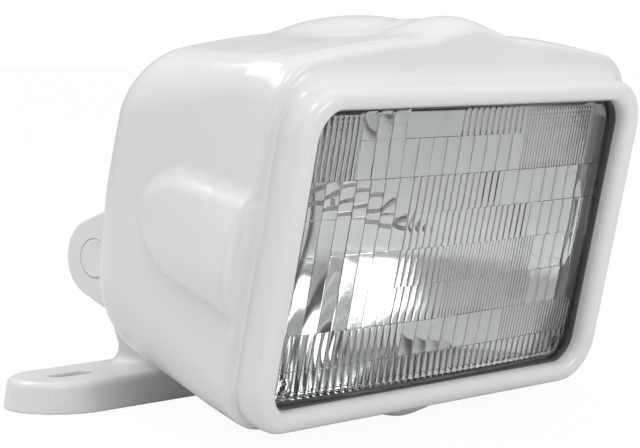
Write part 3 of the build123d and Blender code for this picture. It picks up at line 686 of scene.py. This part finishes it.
# Lens: smooth crowned front, pressed flutes inside
LENS_FRONT, LENS_THICKNESS = 0.6, 3.8
CROWN = 1500.0
EDGE_ROUND, SIDE_START = 0.6, 5.0
FLANGE_FRONT, FLANGE_BACK = 8.0, 11.5
NUB_ACROSS, NUB_UP, NUB_ROUND, NUB_RISE = 68.5, -39.4, 2.1, 0.9
FINE, MID, WIDE = 1.62, 3.2, 6.65
FINE_DEPTH, MID_DEPTH, WIDE_DEPTH = 0.13, 0.24, 0.15
GROOVE, GROOVE_HALF = 0.09, 0.26
GROOVED_FROM = MID * 1.5
BORDER_RIDGE, BORDER_REACH, BORDER_ROW = 0.09, 0.1, 0.25
PRESSED_COLUMNS = 1001
SMOOTH_GRID = (121, 201)
END = 76.0
TOP, BOTTOM = PRESSED_EDGE.half_height, -PRESSED_EDGE.half_height

# Blocks of pressed flutes, with their slope upwards; one without a pitch is plain
Block = namedtuple("Block", "left right low high pitch depth slope")
BLOCKS = tuple(
    Block(*sizes)
    for sizes in (
        (-END, -51.4, 23.2, TOP, 2.28, 0.25, 0.01),
        (-51.4, -31.4, 23.2, TOP, WIDE, WIDE_DEPTH, 0.05),
        (-31.4, -4.9, 35.4, TOP, 0, 0.0, 0.0),
        (-31.4, 28.6, 23.2, 35.4, 6.4, WIDE_DEPTH, 0.005),
        (-4.9, 28.6, 35.4, TOP, 3.1, MID_DEPTH, 0.01),
        (28.6, 65.6, 23.2, TOP, FINE, FINE_DEPTH, 0.01),
        (65.6, END, 23.2, TOP, 0, 0.0, 0.0),
        (-END, -24.4, 11.6, 23.2, WIDE, WIDE_DEPTH, 0.006),
        (-24.4, 21.0, 11.6, 23.2, MID, MID_DEPTH, 0.0),
        (21.0, 37.0, 11.6, 23.2, 6.4, WIDE_DEPTH, 0.0),
        (37.0, END, 11.6, 23.2, WIDE, WIDE_DEPTH, 0.005),
        (-END, -24.4, 0, 11.6, WIDE, WIDE_DEPTH, -0.01),
        (-24.4, 39.0, 0, 11.6, MID, MID_DEPTH, 0.0),
        (39.0, END, 0, 11.6, WIDE, WIDE_DEPTH, 0.007),
        (-END, -37.0, -12, 0, WIDE, WIDE_DEPTH, 0.01),
        (-37.0, -25.0, -12, 0, 12.0, 0.08, 0.0),
        (-25.0, -4.0, -12, 0, MID, MID_DEPTH, 0.0),
        (-4.0, 44.0, -12, 0, FINE, FINE_DEPTH, 0.0),
        (44.0, END, -12, 0, WIDE, WIDE_DEPTH, -0.005),
        (-END, -23.6, -24, -12, WIDE, WIDE_DEPTH, -0.01),
        (-23.6, 0.0, -24, -12, MID, MID_DEPTH, 0.005),
        (0.0, 46.0, -24, -12, FINE, FINE_DEPTH, 0.005),
        (46.0, END, -24, -12, WIDE, WIDE_DEPTH, 0.005),
        (-END, -16.6, -35.4, -24, MID, 0.26, 0.015),
        (-16.6, 10.2, -35.4, -24, WIDE, WIDE_DEPTH, -0.025),
        (10.2, 35.0, -35.4, -24, WIDE, WIDE_DEPTH, 0.025),
        (35.0, END, -35.4, -24, FINE, FINE_DEPTH, 0.0),
        (-END, END, BOTTOM, -35.4, MID, 0.32, 0.03),
    )
)


def row_reach(u, outline):
    """How far a rounded outline reaches across at a height."""
    over = np.maximum(np.abs(u) - outline.half_height + outline.corner, 0)
    return outline.half_width - outline.corner + np.sqrt(np.maximum(outline.corner**2 - over**2, 0))


def crowned(x, u):
    """Depth of the slightly domed face of the glass."""
    return LENS_FRONT + (x**2 + u**2) / (2 * CROWN)


def flute_rate(block):
    """Flutes for each millimetre across a block, fitted to whole ones."""
    width = block.right - block.left
    return max(1, round(width / block.pitch)) / width


def within(block, x, u):
    """Whether places lie in a block."""
    return (x >= block.left) & (x < block.right) & (u >= block.low) & (u < block.high)


def flute_height(x, u):
    """How far the pressed pattern stands in from the plain inner face."""
    height = np.zeros_like(x)
    for block in BLOCKS:
        value = block.slope * (u - (block.low + block.high) / 2)
        if block.pitch:
            rate = flute_rate(block)
            place = ((x - block.left) * rate) % 1.0 - 0.5
            value = value + block.depth * (1 - 4 * place * place)
            if block.pitch > GROOVED_FROM:
                border = (0.5 - np.abs(place)) / rate
                value = value - GROOVE * np.maximum(0, 1 - border / GROOVE_HALF)
        height = np.where(within(block, x, u), value, height)
    return height


def flute_normals(corner):
    """Normals at face corners on the inner side, each face taken as part of one flute."""
    middle = corner.mean(1)
    across = corner[:, :, 0] / CROWN
    up = corner[:, :, 1] / CROWN
    for block in BLOCKS:
        here = within(block, middle[:, 0], middle[:, 1])
        up[here] += block.slope
        if block.pitch:
            rate = flute_rate(block)
            flute = np.floor((middle[here, 0] - block.left) * rate) + 0.5
            place = (corner[here, :, 0] - block.left) * rate - flute[:, None]
            across[here] -= 8 * block.depth * rate * place
            if block.pitch > GROOVED_FROM:
                centre = (middle[here, 0] - block.left) * rate - flute
                beside = (0.5 - np.abs(centre)) / rate < GROOVE_HALF
                across[here] -= (beside * np.sign(centre) * GROOVE / GROOVE_HALF)[:, None]
    normal = np.stack([-across, -up, np.ones_like(up)], -1)
    return normal / np.linalg.norm(normal, axis=-1, keepdims=True)


def pressed_rows(marks, row_gap=1.4, shoulder=0.2, lip=0.02):
    """Heights of rows: even between the borders of the blocks, close together at the borders."""
    rows = [BOTTOM]
    for mark in marks + [TOP]:
        start = rows[-1]
        count = max(2, int((mark - start) / row_gap))
        rows += [start + (mark - start) * step / count for step in range(1, count)]
        rows += [mark - shoulder, mark - lip, mark + lip, mark + shoulder] if mark < TOP else [TOP]
    return np.array(rows)


def outline_grid(heights, columns, outline):
    """Places across and up of a grid that fills a rounded outline."""
    u = np.repeat(heights[:, None], columns, 1)
    x = np.linspace(-1, 1, columns)[None, :] * row_reach(heights, outline)[:, None]
    return x, u


def walls_behind(points, faces, border, levels):
    """Rings that carry a grid's border on through levels of (outline, depth)."""
    start_x, start_u = points[border, 0], points[border, 1]
    previous = border
    for outline, depth in levels:
        whole = row_reach(start_u, Outline(np.abs(start_x).max(), np.abs(start_u).max(), outline.corner))
        u = start_u / np.abs(start_u).max() * outline.half_height
        x = np.clip(start_x / np.maximum(whole, 1e-6), -1, 1) * row_reach(u, outline)
        current = len(points) + np.arange(len(border))
        points = np.concatenate([points, np.stack([x, u, np.full(len(x), depth)], -1)])
        ring = np.stack([previous, np.roll(previous, -1), np.roll(current, -1), current], -1)
        faces = np.concatenate([faces, ring])
        previous = current
    return points, faces


def pressed_side():
    """Inner face of the glass, with the number of points in its pressed grid."""
    borders = {edge for block in BLOCKS for edge in (block.low, block.high)}
    marks = sorted(edge for edge in borders if BOTTOM < edge < TOP)
    heights = pressed_rows(marks)
    shape = (len(heights), PRESSED_COLUMNS)
    x, u = outline_grid(heights, PRESSED_COLUMNS, PRESSED_EDGE)
    w = crowned(x, u) + LENS_THICKNESS + flute_height(x, u)
    at_border = np.abs(heights[:, None] - np.array(marks)[None, :]).min(1) < BORDER_REACH
    w += BORDER_RIDGE * at_border[:, None]
    grid = np.stack([x, u, w], -1).reshape(-1, 3)
    levels = [(PRESSED_EDGE, FLANGE_FRONT), (PRESSED_EDGE, FLANGE_BACK)]
    points, faces = walls_behind(grid, grid_faces(*shape), grid_border(*shape), levels)
    return points, faces, len(grid)


def smooth_side():
    """Crowned front with a rounded edge and two nubs, then the glass's side and its flange."""
    rows, columns = SMOOTH_GRID
    top = GLASS_EDGE.half_height
    x, u = outline_grid(np.linspace(-top, top, rows), columns, GLASS_EDGE)
    near_edge = np.clip(1 + outline_distance(x, u, GLASS_EDGE) / EDGE_ROUND, 0, 1)
    w = crowned(x, u) + EDGE_ROUND * (1 - np.sqrt(np.clip(1 - near_edge**2, 0, 1)))
    for nub in (-NUB_ACROSS, NUB_ACROSS):
        share = ((x - nub) ** 2 + (u - NUB_UP) ** 2) / NUB_ROUND**2
        w -= NUB_RISE * np.sqrt(np.clip(1 - share, 0, 1))
    levels = [
        (GLASS_EDGE, SIDE_START),
        (GLASS_EDGE, FLANGE_FRONT),
        (FLANGE, FLANGE_FRONT),
        (FLANGE, FLANGE_BACK),
        (PRESSED_EDGE, FLANGE_BACK),
    ]
    grid = np.stack([x, u, w], -1).reshape(-1, 3)
    return walls_behind(grid, grid_faces(rows, columns), grid_border(rows, columns), levels)


outer, outer_faces = smooth_side()
inner, inner_faces, pressed_count = pressed_side()
points = np.concatenate([outer, inner])
world = head_to_frame(points)
faces = outward(world, np.concatenate([outer_faces, inner_faces[:, ::-1] + len(outer)]))
pressed = ((faces >= len(outer)) & (faces < len(outer) + pressed_count)).all(1)
pressed &= np.ptp(points[faces, 1], axis=1) > BORDER_ROW
normals = np.zeros((len(faces), 4, 3))
normals[pressed] = flute_normals(points[faces[pressed]]) @ HEAD
lens_piece = make_piece("lens_cover", world, faces, "head", GLASS, normals)
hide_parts("lens_glass")

# Rubber lip between glass and bezel
LIP_INNER, LIP_OUTER, LIP_BREAK = 0.06, 0.44, 0.1
LIP_FRONT, LIP_SHOULDER = 1.25, 1.5
SKIRT, SKIRT_FRONT, SKIRT_BACK = 6.2, 7.1, 7.9

lip_path, lip_normals = rounded_path(GLASS_EDGE)
lip_levels = [
    (LIP_INNER, SKIRT_BACK),
    (LIP_INNER, LIP_SHOULDER),
    (LIP_INNER + LIP_BREAK, LIP_FRONT),
    (LIP_OUTER - LIP_BREAK, LIP_FRONT),
    (LIP_OUTER, LIP_SHOULDER),
    (LIP_OUTER, SKIRT_FRONT),
    (SKIRT, SKIRT_FRONT),
    (SKIRT, SKIRT_BACK),
]
points, faces = swept_rings([(lip_path, lip_normals, *level) for level in lip_levels])
lip = closed_head_piece("gasket_lip", points, faces, GASKET)
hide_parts("beam_gasket")

# Silver film inside the bowl: a paraboloid between flat top and bottom walls
FOCAL, TIP = 32.0, 56.5
FILM_HALF_WIDTH, FILM_HALF_HEIGHT, FILM_FRONT = 75.9, 44.4, 11.6
FILM_SEGMENTS, BOWL_RINGS, WALL_RINGS = 360, 60, 12
TIP_HOLE = 0.03

angles = np.linspace(0, 2 * math.pi, FILM_SEGMENTS, endpoint=False)
rim = np.minimum(FILM_HALF_WIDTH, FILM_HALF_HEIGHT / np.maximum(np.abs(np.sin(angles)), 1e-6))


def film_depth(radius):
    """Depth of the paraboloid at a distance from its axis."""
    return TIP - radius**2 / (4 * FOCAL)


def film_ring(radius, depth):
    """Points of the film all round its axis."""
    return np.stack([radius * np.cos(angles), radius * np.sin(angles), depth], -1)


start = film_depth(rim)
bowl = [film_ring(rim * share, film_depth(rim * share)) for share in np.linspace(TIP_HOLE, 1, BOWL_RINGS)]
wall = [film_ring(rim, start + (FILM_FRONT - start) * share) for share in np.linspace(0, 1, WALL_RINGS)]
bowl_faces = ring_faces(len(bowl), len(angles))
wall_faces = ring_faces(len(wall), len(angles)) + len(bowl) * len(angles)
points = head_to_frame(np.concatenate(bowl + wall))
faces = np.concatenate([bowl_faces, wall_faces])
make_piece("silver_film", points, faces, "head", SILVER)

# Coiled filaments between their posts
WIRE_RADIUS = 0.11
COIL_RADIUS, COIL_DEPTH = 0.6, 24.5
COIL_START, COIL_LENGTH = 0.9, 3.6
COIL_TURNS, TURN_STEPS = 11, 14


share = np.linspace(0, 1, COIL_TURNS * TURN_STEPS + 1)
angle = 2 * math.pi * COIL_TURNS * share
u = COIL_RADIUS * np.cos(angle)
w = COIL_DEPTH + COIL_RADIUS * np.sin(angle)
for side, name in ((-1, "filament_coil_left"), (1, "filament_coil_right")):
    curve = bpy.data.curves.new("filament", "CURVE")
    curve.dimensions = "3D"
    curve.bevel_depth = WIRE_RADIUS * MM
    curve.bevel_resolution = 2
    spots = head_to_frame(np.stack([side * (COIL_START + COIL_LENGTH * share), u, w], -1))
    line = curve.splines.new("POLY")
    line.points.add(len(spots) - 1)
    for point, spot in zip(line.points, spots):
        point.co = (*spot, 1)
    coil = bpy.data.objects.new(name, curve)
    bpy.context.scene.collection.objects.link(coil)
    coil.data.materials.append(TUNGSTEN)
    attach(coil, "head")
    if side > 0:
        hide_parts("filaments")

# Flush pivot caps, with a fine rim and a shallow dish
CAP_PROFILE = [(35.5, 0.01), (35.5, 6.4), (35.7, 6.6), (36.7, 6.6), (36.95, 6.45)]
CAP_PROFILE += [(37.0, 6.15), (36.97, 5.7), (36.9, 5.5), (36.85, 3.0), (36.82, 0.01)]

for side, name, node in ((-1, "cap_left", "pivot_cap_left"), (1, "cap_right", "pivot_cap_right")):
    points, faces = lathe(CAP_PROFILE)
    points = points * (side, 1, 1) + (0, -PIN_DROP, PIN_DEPTH)
    cap = closed_head_piece(name, points, faces, WHITE_BEZEL)
    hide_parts(node)

# Cable grommet with a ribbed, tapered tail
RIBS, RIB_START, RIB_PITCH, RIB_HEIGHT = 4, 95.6, 2.0, 0.5
RIB_ROUND, RIB_TAPER = 6.0, 0.33

profile = [(90.4, 3.4), (90.4, 5.8), (90.6, 6.0), (93.0, 6.0), (93.0, 8.2), (93.3, 8.5)]
profile += [(94.6, 8.5), (95.0, 8.1), (95.05, 6.6)]
for rib in range(RIBS):
    start = RIB_START + rib * RIB_PITCH
    radius = RIB_ROUND - rib * RIB_TAPER
    profile += [(start, radius - RIB_HEIGHT), (start + 0.3, radius)]
    profile += [(start + 1.1, radius), (start + 1.4, radius - RIB_HEIGHT)]
profile += [(104.0, 4.7), (104.0, 3.75), (95.0, 3.7), (95.0, 3.45)]
points, faces = lathe(profile + [profile[0]])
points = points[:, (1, 2, 0)] + (0, GROMMET_UP, 0)
grommet = closed_head_piece("grommet_tail", points, faces, RUBBER)
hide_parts("cable_grommet")

# Floor: pale and matt, but nearly white where the camera sees it, with a faint shadow
FLOOR_COLOUR = (0.76, 0.76, 0.76, 1)
FLOOR_WHITE = 0.95
FLOOR_SIZE = 6.0
FLOOR_DROP = 0.0001

floor_material = bpy.data.materials.new("floor_pale")
floor_material.use_nodes = True
tree = floor_material.node_tree
tree.nodes.clear()
surface = tree.nodes.new("ShaderNodeOutputMaterial")
mix = tree.nodes.new("ShaderNodeMixShader")
matt = tree.nodes.new("ShaderNodeBsdfDiffuse")
matt.inputs["Color"].default_value = FLOOR_COLOUR
glow = tree.nodes.new("ShaderNodeEmission")
glow.inputs["Color"].default_value = (1, 1, 1, 1)
path = tree.nodes.new("ShaderNodeLightPath")
share = tree.nodes.new("ShaderNodeMath")
share.operation = "MULTIPLY"
share.inputs[1].default_value = FLOOR_WHITE
tree.links.new(path.outputs["Is Camera Ray"], share.inputs[0])
tree.links.new(share.outputs[0], mix.inputs[0])
tree.links.new(matt.outputs[0], mix.inputs[1])
tree.links.new(glow.outputs[0], mix.inputs[2])
tree.links.new(mix.outputs[0], surface.inputs["Surface"])

floor_mesh = bpy.data.meshes.new("floor")
floor_corners = [(x * FLOOR_SIZE, y * FLOOR_SIZE, 0) for x, y in ((-1, -1), (1, -1), (1, 1), (-1, 1))]
floor_mesh.from_pydata(floor_corners, [], [(0, 1, 2, 3)])
floor_mesh.materials.append(floor_material)
floor = bpy.data.objects.new("floor", floor_mesh)
bpy.context.scene.collection.objects.link(floor)
floor.location.z = -FLOOR_DROP

# Studio: white to the camera, brighter overhead than at the sides for everything else
STUDIO_COLOUR = (1.0, 0.99, 0.995, 1)
STUDIO_LOW, STUDIO_HIGH = 0.39, 0.90
FROM_HEIGHT, TO_HEIGHT = -0.1, 0.95

studio = bpy.data.worlds.new("studio")
studio.use_nodes = True
bpy.context.scene.world = studio
tree = studio.node_tree
background = tree.nodes["Background"]
background.inputs["Color"].default_value = STUDIO_COLOUR
white = tree.nodes.new("ShaderNodeBackground")
white.inputs["Color"].default_value = (1, 1, 1, 1)
white.inputs["Strength"].default_value = 1.0
mix = tree.nodes.new("ShaderNodeMixShader")
path = tree.nodes.new("ShaderNodeLightPath")
direction = tree.nodes.new("ShaderNodeTexCoord")
split = tree.nodes.new("ShaderNodeSeparateXYZ")
tree.links.new(direction.outputs["Generated"], split.inputs[0])
brightness = spread(tree, split.outputs["Z"], STUDIO_LOW, STUDIO_HIGH, FROM_HEIGHT, TO_HEIGHT)
tree.links.new(brightness, background.inputs["Strength"])
tree.links.new(path.outputs["Is Camera Ray"], mix.inputs[0])
tree.links.new(background.outputs[0], mix.inputs[1])
tree.links.new(white.outputs[0], mix.inputs[2])
tree.links.new(mix.outputs[0], tree.nodes["World Output"].inputs["Surface"])


def softbox(name, place, target, width, height, power):
    """A rectangular lamp that is turned to its target."""
    lamp = bpy.data.lights.new(name, "AREA")
    lamp.shape = "RECTANGLE"
    lamp.size = width
    lamp.size_y = height
    lamp.energy = power
    holder = bpy.data.objects.new(name, lamp)
    bpy.context.scene.collection.objects.link(holder)
    holder.location = place
    away = Vector(place) - Vector(target)
    holder.rotation_euler = away.to_track_quat("Z", "Y").to_euler()


softbox("key", (-0.50, -0.42, 1.10), (0, -0.06, 0.06), 0.5, 0.4, 3.3)
softbox("rear", (-0.15, 0.85, 1.05), (0, -0.03, 0.06), 0.9, 0.35, 3.4)
softbox("front", (0.50, -1.45, 0.32), (0, -0.1, 0.05), 0.6, 0.5, 3.9)

# Camera: in front of the left side, a little above the head's middle
SENSOR_WIDTH = 36.0
FOCAL_IN_WIDTHS = 2300.0 / 640.0
CAMERA_DOWN, CAMERA_TURN = 4.6938, -48.5258

camera_data = bpy.data.cameras.new("camera")
camera_data.sensor_width = SENSOR_WIDTH
camera_data.lens = FOCAL_IN_WIDTHS * SENSOR_WIDTH
camera_data.clip_start = 0.05
camera = bpy.data.objects.new("camera", camera_data)
bpy.context.scene.collection.objects.link(camera)
camera.location = (-0.56646, -0.56311, 0.12215)
camera.rotation_euler = (math.radians(90 - CAMERA_DOWN), 0, math.radians(CAMERA_TURN))
bpy.context.scene.camera = camera
bpy.context.scene.view_settings.view_transform = "Standard"

bpy.context.view_layer.update()
